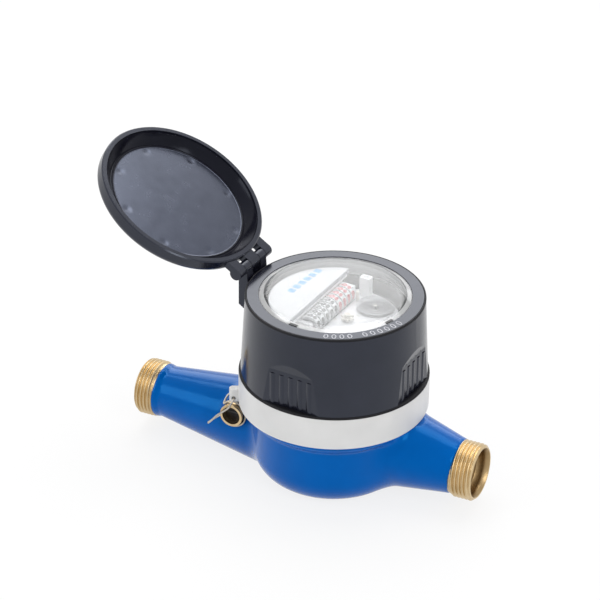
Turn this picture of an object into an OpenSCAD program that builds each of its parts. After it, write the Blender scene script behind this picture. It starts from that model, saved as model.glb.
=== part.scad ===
/* [Pipe body] */
// Height of the pipe axis above the flat base
pipe_z = 17.5; // [17:0.25:22]
// Length of the inlet arm from the meter axis
inlet_len = 97; // [85:1:115]
// Length of the outlet arm from the meter axis
outlet_len = 73; // [68:1:95]
// Outer radius of the pipe threads
thread_r = 13.22; // [12:0.02:15]
// Length of the inlet thread
inlet_thread = 8.5; // [8:0.5:13]
// Length of the outlet thread
outlet_thread = 10.5; // [8:0.5:14]
// Radius of the widened mouth at each pipe end
mouth_r = 10.4; // [9:0.1:11]
// Depth of the widened mouth
mouth_depth = 6; // [4:0.5:9]
// Radius of the water passage
pipe_bore_r = 7.5; // [6.5:0.1:8.5]
// Radius of the inlet arm just behind its thread
inlet_neck_r = 11.6; // [11:0.1:13]
// Radius of the outlet arm just behind its thread
outlet_neck_r = 12.2; // [11.5:0.1:12.4]
// Radius of each arm inside the bowl's wall
arm_root_r = 20.6; // [18:0.1:21]
// How far the bowl's side stands in from the neck
bowl_in = 1.9; // [1:0.1:2.5]
// Edge radius between the base and the bowl's side
bowl_fillet = 13; // [8:0.5:14]
// Outer radius of the neck that carries the head
neck_r = 38.4; // [37:0.1:42]
// Wall of the neck round the wet chamber
neck_wall = 6.4; // [5.5:0.1:7]

/* [Seal ring] */
// Height of the seal ring's lower edge
ring_z = 37; // [36:0.5:40]
// Height of the seal ring
ring_h = 15; // [12:0.5:18]
// Wall of the seal ring
ring_wall = 4.35; // [3.5:0.05:6]

/* [Head ring] */
// Height of the head ring
head_h = 39.3; // [37:0.1:45]
// How far the head ring's lower edge stands in from the seal ring
head_in = 0.85; // [0.3:0.05:1.5]
// How much the head ring narrows towards its top
head_taper = 2; // [1:0.1:2.5]
// Width of the flat rim round the reading opening
rim_w = 6; // [5.5:0.1:6.5]
// Turn of the head about the meter axis
head_turn = -4; // [-20:1:20]
// Height of the upright part of the grip flats
grip_h = 18.5; // [12:0.5:21]
// Depth of the grip flats
grip_in = 2.4; // [2:0.1:2.6]
// Ribs on each grip flat
grip_ribs = 5; // [3:1:6]

/* [Lid] */
// How far the lid's edge stands in from the head ring's
lid_in = 0.4; // [0:0.05:1]
// Height of the lid
lid_h = 7.4; // [7:0.1:9]
// Wall of the lid
lid_wall = 2.4; // [2:0.1:3]
// Thickness of the lid's top
lid_top = 1.3; // [1.2:0.1:2]
// Angle at which the lid stands open
lid_open = 149.4; // [0:0.2:150]
// Distance from the head ring's upper edge to the hinge axis
hinge_out = 3.2; // [3:0.1:4]
// Height of the hinge axis above the head ring
hinge_up = 4; // [3.8:0.1:4.5]
// Radius of the hinge pin
hinge_pin_r = 1.5; // [1:0.05:1.7]

/* [Register] */
// Gap round the lens dome in the reading opening
lens_gap = 2.6; // [2:0.1:3]
// Wall of the lens
lens_wall = 1.8; // [1.5:0.1:2]
// Radius of a number wheel
wheel_r = 4.7; // [4.5:0.05:4.9]
// Radius of the clear pointer disc
disc_r = 8.8; // [6:0.1:9]

/* [Measuring chamber] */
// Space round the jet chamber
jet_gap = 7.5; // [7:0.25:9]
// Jets in each row
jet_count = 12; // [6:1:14]
// Blades on the impeller
blade_count = 8; // [5:1:10]
// Space round the impeller's blades
blade_gap = 1.9; // [1:0.1:4]

/* [Adjuster] */
// Distance of the adjuster from the meter axis, towards the inlet
adjuster_x = 42; // [41:0.5:46]
// Height of the adjuster
adjuster_z = 27; // [26:0.25:27]
// Outer radius of the adjuster plug
plug_r = 5.5; // [5:0.1:6]

/* [Hidden] */
// Clearances: running shafts, slip fits, faces that pass each other
run = 0.05;
slip = 0.1;
gap = 0.3;
// How far a cutting or joining shape reaches past a face
over = 1;

// Radii that follow the neck, outwards and inwards
ring_slip = 0.5;
ring_r = neck_r + ring_slip + ring_wall;
head_low_r = ring_r - head_in;
head_top_r = head_low_r - head_taper;
window_r = head_top_r - rim_w;
grip_flat = head_low_r - grip_in;
lid_r = head_top_r - lid_in;
hinge_x = head_top_r + hinge_out;
lens_r = window_r - lens_gap;
bowl_r = neck_r - bowl_in;
chamber_r = neck_r - neck_wall;
jet_wall = 2.2;
jet_r = chamber_r - jet_gap;
blade_r = jet_r - jet_wall - blade_gap;

// Heights up the meter
floor_z = 4;
web_low = 17;
web_top = 19.5;
neck_top = ring_z + 19;
head_z = ring_z + ring_h;
head_top = head_z + head_h;
gasket_h = 1.2;
plate_z = neck_top + gasket_h;
plate_h = 3.8;
register_z = plate_z + plate_h;
lens_top = head_top - 0.5;
shelf_z = head_top - 8.5;
dial_z = register_z + 16;
dial_h = 1.2;
panel_z = dial_z + 7.5;
panel_h = 1.5;

// Pipe body
shoulder_r = neck_r + 1.9;
thread_chamfer = 0.8;
arm_root_x = 25;
inlet_lean = 1.85;
outlet_lean = 5.55;
duct_r = 5.6;
inlet_drop = 7;
outlet_rise = 10;
duct_inner_x = jet_r - 2.5;
sump_r = chamber_r - 4;
boss_face = arm_root_r - 5.1;
boss_r = plug_r + 1.1;
plug_wall = 1.1;
boss_bore_r = plug_r - 0.45;
screw_bore_r = 2;
screw_depth = 9.5;
screw_end_gap = 0.5;

// Seal ring lug
lug_angle = 205;
lug_w = 4;
lug_out = 4.2;
lug_low = 1.5;
lug_h = 6;
eye_r = 1;
eye_z = ring_z + 0.2;

// Head ring
head_bore = neck_r + gap;
head_inner_r = lens_r + 4.8;
skirt_r = head_inner_r - gap - gap;
edge_cut = 0.9;
grip_lean = 3.6;
rib_r = 2.4;
rib_out = 0.4;
rib_step = 4.6;

// Hinge
hinge_z = head_top + hinge_up;
knuckle_r = 2.8;
ear_w = 4.9;
ear_mid = 6.15;
block_in = ear_mid + ear_w / 2 + gap;
block_out = block_in + 5;
finger_half = ear_mid - ear_w / 2 - gap;
ear_drop = 16.5;
ear_taper = 2.7;
bracket_out = hinge_x + 1.4;
bracket_top = head_top - 1.2;

// Lid inside
lid_drop = hinge_up - gap;
lip_depth = 3;
lip_step = 0.9;
lid_round = 3;
bead_ring_r = lid_r - 5.4;
mark_r = 2.2;
mark_ring = lid_r - 8.6;
mark_count = 8;

// Counter
wheel_count = 9;
wheel_pitch = lens_r / 8.05;
arbor_r = 0.8;
gear_m = 0.4;
wheel_x = -5.2;
wheel_z = dial_z + 4;
wheel_y0 = -3.8 * wheel_pitch;
drum_w = wheel_pitch - 1.05;
gear_w = 0.8;
wheel_teeth = 20;
pinion_teeth = 8;
pinion_w = 0.55;
carry_x = wheel_x - gear_m * (wheel_teeth + pinion_teeth) / 2;
panel_edge = wheel_x - 3.6;
row_end = wheel_y0 + wheel_count * wheel_pitch;
cheek_w = 2;
cheek_low_y = wheel_y0 - gap;
cheek_high_y = row_end + 1.4;

// Gear train: module, teeth, levels and arbor places
train_m = lens_r / 79.5;
follower_teeth = 14;
transfer_teeth = 40;
small_teeth = 12;
pointer_teeth = 36;
worm_teeth = 21;
star_teeth = 14;
disc_gap = 1;
star_bearing = 20;
level_a = register_z + 9;
level_b = register_z + 12;
train_w = 1.2;
bridge_z = level_a + train_w + 0.4;
bridge_h = 1;
star_z = dial_z + dial_h + 1;
post_top = register_z + 8.2;
function centre(a, b) = train_m * (a + b) / 2;
worm_at = [wheel_x + 5.8, row_end - wheel_pitch + drum_w + gear_w / 2];
pointer_out = lens_r - lens_wall - disc_gap - disc_r;
pointer_at = meet(pointer_out, worm_at, centre(pointer_teeth, worm_teeth));
star_at = centre(follower_teeth, star_teeth) * [cos(star_bearing), sin(star_bearing)];
transfer_at = meet(centre(follower_teeth, transfer_teeth), pointer_at, centre(small_teeth, pointer_teeth));

// Point at distance ra from the origin and rb from p
function meet(ra, p, rb) =
    let (d = norm(p), a = (ra * ra - rb * rb + d * d) / (2 * d), h = sqrt(max(0, ra * ra - a * a)))
    [a * p[0] / d + h * p[1] / d, a * p[1] / d - h * p[0] / d];
function bearing(p, q) = atan2(q[1] - p[1], q[0] - p[0]);

// Phases that put a gap of each wheel on a tooth of the wheel before it
follower_phase = bearing([0, 0], transfer_at);
transfer_phase = follower_phase + 180 - 180 / transfer_teeth;
star_share = (star_bearing - follower_phase) * follower_teeth / 360;
star_phase = star_bearing + 180 - (0.5 - star_share) * 360 / star_teeth;
small_phase = bearing(transfer_at, pointer_at);
pointer_phase = small_phase + 180 - 180 / pointer_teeth;
worm_bearing = bearing(pointer_at, worm_at);
worm_share = (worm_bearing - pointer_phase) * pointer_teeth / 360;
worm_phase = worm_bearing + 180 - (0.5 - worm_share) * 360 / worm_teeth;

// Measuring chamber
jet_low = 6.5;
jet_floor = 2.5;
jet_top = neck_top - 10;
flange_r = jet_r + 2.3;
cover_h = 2.5;
pivot_top = 15;
blade_low = 14;
blade_top = 30;
hub_r = 3.2;
spindle_r = 1.5;
magnet_r = 7.5;

// Seal wire: radius and route, from one twisted end to the other
wire_r = 0.45;
wire_loop_r = plug_r + 0.8;
wire_y = -boss_face - 3.2;
wire_start = [-adjuster_x, wire_y, adjuster_z];
eye_out = ring_r + lug_out - lug_w / 2;
function by_eye(along, out, up) =
    [(eye_out + out) * cos(lug_angle) + along * sin(lug_angle),
     (eye_out + out) * sin(lug_angle) - along * cos(lug_angle), eye_z + up];
wire_route = concat(
    [for (p = [[-11.9, -1.5, -7.1], [-10.4, -1.2, -5.6], [-8.2, -0.5, -3.7]]) wire_start + p],
    [for (a = [200 : 25 : 500]) wire_start + [wire_loop_r * cos(a), (a - 200) / 400, wire_loop_r * sin(a)]],
    [by_eye(4.7, 2.9, -2.6), by_eye(4.2, 0.5, -0.4), by_eye(2.7, 0, 0), by_eye(-2.6, 0, 0),
     by_eye(-3.6, 0.7, -1.2), by_eye(-3.5, 2.2, -4.2)],
    [for (p = [[-3, -3.7, 2.5], [-6.6, -2.7, -1], [-9, -2.6, -4], [-11.2, -2.8, -6.4]]) wire_start + p]);

$fn = 96;

// Points on an arc about [cx, cy]
function arc(cx, cy, r, from, to, steps) =
    [for (i = [0 : steps]) let (a = from + (to - from) * i / steps) [cx + r * cos(a), cy + r * sin(a)]];

// Tube along a route: one ring of points at each stop, square to the route there
function unit(v) = v / norm(v);
function heading(p, i) = unit(p[min(i + 1, len(p) - 1)] - p[max(i - 1, 0)]);
function tube_ring(p, i, r, sides) =
    let (t = heading(p, i), u = unit(cross(t, [0.3, 1, 0.2])), v = cross(t, u))
    [for (k = [0 : sides - 1]) p[i] + r * (u * cos(360 * k / sides) + v * sin(360 * k / sides))];

module tube_along(p, r, sides) {
    n = len(p);
    points = [for (i = [0 : n - 1]) each tube_ring(p, i, r, sides)];
    walls = [for (i = [0 : n - 2], k = [0 : sides - 1])
        let (a = i * sides + k, b = i * sides + (k + 1) % sides)
        each [[a, a + sides, b], [b, a + sides, b + sides]]];
    first = [[for (k = [0 : sides - 1]) k]];
    last = [[for (k = [sides - 1 : -1 : 0]) (n - 1) * sides + k]];
    polyhedron(points, concat(first, walls, last));
}

// Ring between two radii
module ring(r_out, r_in, z, h) {
    translate([0, 0, z]) difference() {
        cylinder(r = r_out, h = h);
        translate([0, 0, -over]) cylinder(r = r_in, h = h + 2 * over);
    }
}

// Outline of a spur wheel with straight-flanked teeth
module gear_outline(teeth, phase, m) {
    pitch_r = m * teeth / 2;
    tip_r = pitch_r + 0.85 * m;
    root_r = pitch_r - 1.2 * m;
    quarter = 90 / teeth;
    polygon([for (i = [0 : teeth - 1], s = [[-1.3, 0], [-0.5, 1], [0.5, 1], [1.3, 0]])
        let (a = phase + 360 * i / teeth + s[0] * quarter, r = s[1] == 1 ? tip_r : root_r)
        [r * cos(a), r * sin(a)]]);
}

module gear(teeth, phase, z, w, m = train_m) {
    translate([0, 0, z]) linear_extrude(w) gear_outline(teeth, phase, m);
}

// Places its children in the turned head
module in_head() {
    rotate([0, 0, head_turn]) children();
}

// Stands its children's +Z along the counter's row
module along_row(x, y, z) {
    translate([x, y, z]) rotate([-90, 0, 0]) children();
}

// One pipe arm from its threaded end at z = 0: a cone that widens and leans on its way to the bowl
module pipe_arm(length, thread, neck_r, lean) {
    reach = length - arm_root_x - thread;
    slope = (arm_root_r - neck_r) / reach;
    rotate_extrude() polygon([[0, 0], [thread_r - thread_chamfer, 0], [thread_r, thread_chamfer],
        [thread_r, thread],
        [0, thread]]);
    translate([0, 0, thread / 2]) rotate([0, lean, 0])
        cylinder(r1 = neck_r - slope * thread / 2, r2 = arm_root_r, h = reach + thread / 2);
}

module bowl_outside() {
    base_r = bowl_r - bowl_fillet;
    rotate_extrude() polygon(concat(
        [[0, 0]],
        arc(base_r, bowl_fillet, bowl_fillet, -90, 0, 8),
        [[bowl_r, ring_z - 6], [shoulder_r, ring_z - 2.5], [shoulder_r, ring_z], [neck_r, ring_z],
         [neck_r, neck_top],
         [0, neck_top]]));
}

module water_way() {
    inlet_run = inlet_len - 22 - duct_inner_x;
    inlet_tilt = atan2(inlet_drop, inlet_run);
    outlet_run = outlet_len - 22 - duct_inner_x;
    outlet_tilt = atan2(outlet_rise, outlet_run);
    translate([-inlet_len - over, 0, pipe_z]) rotate([0, 90, 0])
        cylinder(r = mouth_r, h = mouth_depth + over);
    translate([-inlet_len, 0, pipe_z]) rotate([0, 90, 0]) cylinder(r = pipe_bore_r, h = 23);
    translate([22 - inlet_len, 0, pipe_z]) rotate([0, 90 + inlet_tilt, 0])
        cylinder(r = duct_r, h = norm([inlet_run, inlet_drop]));
    translate([outlet_len + over, 0, pipe_z]) rotate([0, -90, 0])
        cylinder(r = mouth_r, h = mouth_depth + over);
    translate([outlet_len, 0, pipe_z]) rotate([0, -90, 0]) cylinder(r = pipe_bore_r, h = 23);
    translate([outlet_len - 22, 0, pipe_z]) rotate([0, -90 + outlet_tilt, 0])
        cylinder(r = duct_r, h = norm([outlet_run, outlet_rise]));
}

module adjuster_axis(y) {
    translate([-adjuster_x, y, adjuster_z]) rotate([90, 0, 0]) children();
}

module meter_body() {
    color("royalblue") difference() {
        union() {
            bowl_outside();
            intersection() {
                union() {
                    translate([-inlet_len, 0, pipe_z]) rotate([0, 90, 0])
                        pipe_arm(inlet_len, inlet_thread, inlet_neck_r, inlet_lean);
                    translate([outlet_len, 0, pipe_z]) rotate([0, -90, 0])
                        pipe_arm(outlet_len, outlet_thread, outlet_neck_r, outlet_lean);
                }
                translate([-inlet_len - over, -bowl_r, 0])
                    cube([inlet_len + outlet_len + 2 * over, 2 * bowl_r, ring_z - 0.5]);
            }
            adjuster_axis(-6) cylinder(r = boss_r, h = boss_face - 6);
        }
        translate([0, 0, floor_z]) cylinder(r = sump_r, h = web_low - floor_z);
        translate([0, 0, web_low - over]) cylinder(r = jet_r + slip, h = web_top - web_low + 2 * over);
        translate([0, 0, web_top]) cylinder(r = chamber_r, h = neck_top - web_top + over);
        water_way();
        adjuster_axis(-boss_face) cylinder(r = plug_r + slip, h = boss_face);
        adjuster_axis(-boss_face + 5.5) cylinder(r = boss_bore_r, h = 6.5);
        adjuster_axis(screw_depth - boss_face) cylinder(r = screw_bore_r + run, h = 6);
    }
}

// Slotted sleeve that keeps grit out of the inlet
module inlet_strainer() {
    strainer_len = 14;
    strainer_r = pipe_bore_r - slip;
    color("gainsboro") translate([mouth_depth - inlet_len, 0, pipe_z]) rotate([0, 90, 0]) difference() {
        cylinder(r = strainer_r, h = strainer_len);
        translate([0, 0, -over]) cylinder(r = strainer_r - 1, h = strainer_len - 1.2 + over);
        for (a = [0 : 30 : 150])
            rotate([0, 0, a]) translate([-strainer_r - over, -0.6, 3])
                cube([2 * strainer_r + 2 * over, 1.2, 7.5]);
        for (a = [0 : 60 : 300])
            rotate([0, 0, a]) translate([3.6, 0, 0]) cylinder(r = 1, h = strainer_len + over);
    }
}

// One row of slanted jets through the wall of the chamber
module jet_row(z, h, turn) {
    for (i = [0 : jet_count - 1])
        rotate([0, 0, 360 * i / jet_count]) translate([jet_r - jet_wall, 0, z]) rotate([0, 0, turn])
            translate([-3, -1.1, 0]) cube([8, 2.2, h]);
}

module jet_chamber() {
    color("white") difference() {
        union() {
            translate([0, 0, jet_low]) cylinder(r = jet_r, h = jet_top - jet_low);
            translate([0, 0, web_top]) cylinder(r = flange_r, h = 2);
        }
        translate([0, 0, jet_low + jet_floor]) cylinder(r = jet_r - jet_wall, h = jet_top);
        translate([0, 0, jet_low + 1]) cylinder(r = arbor_r + run / 2, h = jet_floor);
        jet_row(10.5, 4, 55);
        jet_row(24, 6, -55);
    }
}

module chamber_cover() {
    color("whitesmoke") {
        difference() {
            union() {
                translate([0, 0, jet_top]) cylinder(r = jet_r, h = cover_h);
                ring(jet_r - 2, jet_r - 4.5, jet_top + cover_h, plate_z - jet_top - cover_h);
            }
            translate([0, 0, jet_top - over]) cylinder(r = spindle_r + run, h = cover_h + 2 * over);
        }
    }
}

module impeller_pivot() {
    color("silver") translate([0, 0, jet_low + 1]) cylinder(r = arbor_r, h = pivot_top - jet_low - 1);
}

module impeller() {
    hub_low = jet_low + jet_floor + 3;
    spindle_top = jet_top + cover_h + 6.4;
    color("orange") difference() {
        union() {
            translate([0, 0, hub_low]) cylinder(r = hub_r, h = jet_top - hub_low - 2);
            translate([0, 0, hub_low]) cylinder(r = spindle_r, h = spindle_top - hub_low);
            translate([0, 0, jet_top + cover_h + 0.7]) cylinder(r = hub_r, h = 0.8);
            for (i = [0 : blade_count - 1])
                rotate([0, 0, 360 * i / blade_count]) translate([0, -0.5, blade_low])
                    cube([blade_r, 1, blade_top - blade_low]);
        }
        translate([0, 0, hub_low - over]) cylinder(r = arbor_r + run, h = pivot_top + run - hub_low + over);
    }
}

module drive_magnet() {
    color("dimgray") ring(magnet_r, spindle_r + run / 2, jet_top + cover_h + 1.5, 4);
}

module body_gasket() {
    color("black") ring(neck_r - 0.4, chamber_r + 1, neck_top, gasket_h);
}

module pressure_plate() {
    color("lightgray") difference() {
        translate([0, 0, plate_z]) cylinder(r = neck_r - 0.6, h = plate_h);
        ring(jet_r + 4, jet_r + 1, plate_z - over, over + 1.2);
    }
}

module seal_ring() {
    color("white") {
        ring(ring_r, neck_r + ring_slip, ring_z, ring_h);
        rotate([0, 0, lug_angle]) difference() {
            union() {
                translate([neck_r + 1.5, -lug_w / 2, ring_z - lug_low])
                    cube([eye_out - neck_r - 1.5, lug_w, lug_h]);
                translate([eye_out, 0, ring_z - lug_low]) cylinder(r = lug_w / 2, h = lug_h);
            }
            translate([0, 0, ring_z - lug_low - over]) cylinder(r = shoulder_r + gap, h = lug_low + over);
            translate([eye_out, lug_w, eye_z]) rotate([90, 0, 0]) cylinder(r = eye_r, h = 2 * lug_w);
        }
    }
}

// Flat with low ribs that runs out of the head ring's side at its top
module grip_cut() {
    rib_span = (grip_ribs - 1) * rib_step;
    grip_top = head_z + grip_h;
    difference() {
        translate([0, head_low_r, 0]) rotate([90, 0, 0]) linear_extrude(2 * head_low_r)
            polygon([[grip_flat, head_z - over], [grip_flat, grip_top],
                [grip_flat + 4, grip_top + 4 * grip_lean],
                [head_low_r + 4, head_z - over]]);
        for (i = [0 : grip_ribs - 1])
            translate([grip_flat - rib_r + rib_out, i * rib_step - rib_span / 2, head_z - 2 * over])
                cylinder(r = rib_r, h = grip_h);
    }
}

// Upright ear that carries the hinge pin, seen along the hinge
module hinge_ear() {
    ear_in = hinge_x - knuckle_r - 0.4;
    linear_extrude(ear_w) {
        translate([-hinge_x, hinge_z]) circle(knuckle_r);
        polygon([[-bracket_out, hinge_z], [-bracket_out, bracket_top - 5], [-ear_in, bracket_top - 5],
            [-ear_in, bracket_top], [knuckle_r - hinge_x, hinge_z]]);
    }
}

// Block on the head ring's side that the two ears stand on
module hinge_bracket() {
    half = ear_mid + ear_w / 2;
    root_x = head_top_r - 1;
    translate([0, half, 0]) rotate([90, 0, 0]) linear_extrude(2 * half)
        polygon([[-bracket_out, bracket_top], [-bracket_out, head_top - ear_drop + ear_taper],
            [-root_x - 1.5, head_top - ear_drop], [-root_x, head_top - ear_drop], [-root_x, bracket_top]]);
}

module hinge_bore(r, half) {
    translate([-hinge_x, half, hinge_z]) rotate([90, 0, 0]) cylinder(r = r, h = 2 * half);
}

module head_ring() {
    color([0.08, 0.08, 0.1]) in_head() difference() {
        union() {
            difference() {
                rotate_extrude() polygon([[0, head_z], [head_low_r - edge_cut, head_z],
                    [head_low_r, head_z + edge_cut],
                    [head_top_r, head_top - edge_cut], [head_top_r - edge_cut, head_top], [0, head_top]]);
                for (a = [0 : 90 : 270])
                    rotate([0, 0, a]) grip_cut();
            }
            for (side = [-1, 1])
                translate([0, side * ear_mid + ear_w / 2, 0]) rotate([90, 0, 0]) hinge_ear();
            hinge_bracket();
        }
        translate([0, 0, head_z - over]) cylinder(r = head_bore, h = register_z + over + over - head_z);
        translate([0, 0, head_z]) cylinder(r = head_inner_r, h = shelf_z - head_z);
        translate([0, 0, head_z]) cylinder(r = window_r, h = head_h + over);
        hinge_bore(hinge_pin_r + run / 2, block_out);
    }
}

module hinge_pin() {
    color("silver") in_head() hinge_bore(hinge_pin_r, block_out - 1);
}

// Knuckle and arm that join the lid to the pin, from y_low to y_high along the hinge
module lid_finger(y_low, y_high, reach) {
    translate([0, y_high, 0]) rotate([90, 0, 0]) linear_extrude(y_high - y_low) {
        circle(knuckle_r);
        translate([0, -knuckle_r]) square([reach, knuckle_r + lid_h - lid_drop - lid_round]);
    }
}

// Lid drawn closed, with the hinge axis at the origin
module lid_closed() {
    inner_r = lid_r - lid_wall;
    depth = lid_h - lid_top;
    difference() {
        union() {
            translate([hinge_x, 0, -lid_drop]) rotate_extrude() polygon(concat(
                [[0, 0], [lid_r - 0.5, 0], [lid_r, 0.5]],
                arc(lid_r - lid_round, lid_h - lid_round, lid_round, 0, 90, 6),
                [[0, lid_h]]));
            lid_finger(-block_out, -block_in, hinge_x - inner_r + 0.8);
            lid_finger(block_in, block_out, hinge_x - inner_r + 0.8);
            lid_finger(-finger_half, finger_half, hinge_x - inner_r - 0.4);
        }
        translate([hinge_x, 0, -lid_drop - over]) cylinder(r = inner_r, h = lip_depth + over);
        translate([hinge_x, 0, -lid_drop]) cylinder(r = inner_r - lip_step, h = depth);
        for (i = [0 : mark_count - 1])
            translate([hinge_x, 0, depth - lid_drop - over]) rotate([0, 0, 360 * (i + 0.5) / mark_count])
                translate([mark_ring, 0, 0]) cylinder(r = mark_r, h = over + 0.4);
        translate([0, block_out - over, 0]) rotate([90, 0, 0])
            cylinder(r = hinge_pin_r + run, h = 2 * (block_out - over));
    }
    translate([hinge_x, 0, -lid_drop]) ring(bead_ring_r + 0.5, bead_ring_r - 0.5, depth - 0.5, 0.6);
}

module lid() {
    color([0.09, 0.09, 0.11]) in_head() translate([-hinge_x, 0, hinge_z]) rotate([0, -lid_open, 0])
        lid_closed();
}

module adjuster_plug() {
    color("goldenrod") difference() {
        union() {
            adjuster_axis(-boss_face) cylinder(r = plug_r, h = 5);
            adjuster_axis(3 - boss_face) cylinder(r = boss_bore_r - run, h = 4);
        }
        adjuster_axis(4 - boss_face) cylinder(r = plug_r - plug_wall, h = 10);
    }
}

module adjuster_screw() {
    head_y = 5.5 - boss_face;
    color("darkgoldenrod") difference() {
        union() {
            adjuster_axis(head_y) cylinder(r = plug_r - plug_wall - gap, h = 2);
            adjuster_axis(screw_depth - screw_end_gap - boss_face) cylinder(r = screw_bore_r, h = 4);
        }
        adjuster_axis(head_y - 1.2) translate([-plug_r, -0.5, 0]) cube([2 * plug_r, 1, 2]);
    }
}

module seal_wire() {
    color("silver") tube_along(wire_route, wire_r, 8);
}

module register_base() {
    base_wall = 1.5;
    color("whitesmoke") in_head() difference() {
        union() {
            translate([0, 0, register_z]) cylinder(r = skirt_r - 2.5, h = 2.5);
            ring(lens_r - lens_wall - 0.4, lens_r - lens_wall - 0.4 - base_wall,
                register_z + 1, dial_z - register_z - 1);
            for (p = [transfer_at, pointer_at, worm_at])
                translate([p[0], p[1], register_z + 1]) cylinder(r = 2, h = post_top - register_z - 1);
            translate([star_at[0] - 1.8, star_at[1] - 1.5, bridge_z])
                cube([lens_r - lens_wall + 0.8 - star_at[0], 3, bridge_h]);
        }
        translate([star_at[0], star_at[1], bridge_z - over])
            cylinder(r = arbor_r + run, h = bridge_h + 2 * over);
        translate([0, 0, register_z + 0.8]) cylinder(r = arbor_r + run, h = 5);
        for (p = [transfer_at, pointer_at, worm_at])
            translate([p[0], p[1], register_z + 4.2]) cylinder(r = arbor_r + run, h = 6);
    }
}

module follower_magnet() {
    color("dimgray") in_head() ring(magnet_r, arbor_r + run / 2, register_z + 3, 3.5);
}

module follower_arbor() {
    color("ivory") in_head() {
        translate([0, 0, register_z + 0.9]) cylinder(r = arbor_r, h = dial_z + dial_h - register_z - 1.1);
        translate([0, 0, register_z + 6.5]) cylinder(r = 1.6, h = level_a - register_z - 6.5);
        gear(follower_teeth, follower_phase, level_a - 0.3, level_b + train_w + 0.6 - level_a);
    }
}

module star_arbor() {
    color("ivory") in_head() translate([star_at[0], star_at[1], 0]) {
        translate([0, 0, bridge_z + 0.1]) cylinder(r = arbor_r, h = star_z + 1.6 - bridge_z - 0.1);
        gear(star_teeth, star_phase, level_b, train_w);
    }
}

// Small star that shows the slightest flow
module star_indicator() {
    star_points = 6;
    star_r = 3.4;
    color("tan") in_head() translate([star_at[0], star_at[1], star_z]) difference() {
        union() {
            linear_extrude(1) polygon([for (i = [0 : 2 * star_points - 1])
                let (r = i % 2 == 0 ? star_r : star_r * 0.5, a = 180 * i / star_points)
                [r * cos(a), r * sin(a)]]);
            cylinder(r = 1.5, h = 2.4);
        }
        translate([0, 0, -over]) cylinder(r = arbor_r + run / 2, h = 2.7);
    }
}

module transfer_gear() {
    color("ivory") in_head() translate([transfer_at[0], transfer_at[1], 0]) {
        translate([0, 0, register_z + 4.3]) cylinder(r = arbor_r, h = dial_z + dial_h - register_z - 4.5);
        gear(transfer_teeth, transfer_phase, level_a, train_w);
        translate([0, 0, level_a]) cylinder(r = 1.5, h = level_b - level_a);
        gear(small_teeth, small_phase, level_b - 0.3, train_w + 0.6);
    }
}

module pointer_gear() {
    color("ivory") in_head() translate([pointer_at[0], pointer_at[1], 0]) {
        translate([0, 0, register_z + 4.3]) cylinder(r = arbor_r, h = dial_z + 3.6 - register_z - 4.3);
        gear(pointer_teeth, pointer_phase, level_b, train_w);
    }
}

module pointer_disc() {
    color("aliceblue") in_head() translate([pointer_at[0], pointer_at[1], dial_z + dial_h + 0.8])
        difference() {
        union() {
            cylinder(r = disc_r, h = 1);
            ring(disc_r, disc_r - 0.8, 0.5, 1.1);
            cylinder(r = 2.2, h = 2);
        }
        translate([0, 0, -over]) cylinder(r = arbor_r + run / 2, h = 2 + over);
    }
}

module worm_arbor() {
    color("ivory") in_head() translate([worm_at[0], worm_at[1], 0]) {
        translate([0, 0, register_z + 4.3]) cylinder(r = arbor_r, h = wheel_z + 2 - register_z - 4.3);
        gear(worm_teeth, worm_phase, level_b, train_w);
    }
}

module dial_plate() {
    slot_half = 4.3;
    post = [5, 3.4];
    color("white") in_head() difference() {
        union() {
            translate([0, 0, dial_z]) cylinder(r = lens_r - lens_wall - 0.4, h = dial_h);
            translate([-1, cheek_high_y + cheek_w + 0.4, dial_z])
                cube([post[0], post[1], lens_top - 3 - dial_z]);
        }
        translate([wheel_x - slot_half, wheel_y0 - 0.5, dial_z - over])
            cube([2 * slot_half, row_end - wheel_y0 + 0.4, dial_h + 2 * over]);
        for (p = [[0, 0], star_at, transfer_at, pointer_at, worm_at])
            translate([p[0], p[1], dial_z - over]) cylinder(r = arbor_r + run, h = dial_h + 2 * over);
    }
}

// Raised half-moon beside the number wheels, on a curved foot
module dial_panel() {
    panel_r = lens_r - lens_wall - 1.5;
    foot_z = dial_z + dial_h;
    color("white") in_head() {
        intersection() {
            translate([0, 0, panel_z]) cylinder(r = panel_r, h = panel_h);
            translate([panel_edge - 2 * panel_r, -panel_r, panel_z])
                cube([2 * panel_r, 2 * panel_r, panel_h]);
        }
        intersection() {
            ring(panel_r, panel_r - 1.8, foot_z, panel_z - foot_z + 0.5);
            translate([-2 * panel_r - 17, -panel_r, foot_z]) cube([2 * panel_r, 2 * panel_r, 2 * panel_r]);
        }
    }
}

// Two cheeks on a bar that hold the counter's shafts
module counter_frame() {
    foot_z = dial_z + dial_h;
    cheek_back = carry_x - 2.6;
    color("white") in_head() difference() {
        union() {
            for (y = [cheek_low_y - cheek_w, cheek_high_y])
                translate([cheek_back, y, foot_z])
                    cube([wheel_x + 2.4 - cheek_back, cheek_w, wheel_z + 2.2 - foot_z]);
            translate([cheek_back - 1.5, cheek_low_y - cheek_w, foot_z])
                cube([1.6, cheek_high_y - cheek_low_y + 2 * cheek_w, 1.2]);
        }
        for (x = [wheel_x, carry_x])
            along_row(x, cheek_low_y - cheek_w - over, wheel_z)
                cylinder(r = arbor_r + run / 2, h = cheek_high_y - cheek_low_y + 2 * cheek_w + 2 * over);
    }
}

module counter_shaft(x) {
    color("silver") in_head() along_row(x, cheek_low_y - cheek_w, wheel_z)
        cylinder(r = arbor_r, h = cheek_high_y - cheek_low_y + 2 * cheek_w);
}

module wheel_shaft() { counter_shaft(wheel_x); }

module carry_shaft() { counter_shaft(carry_x); }

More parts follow.
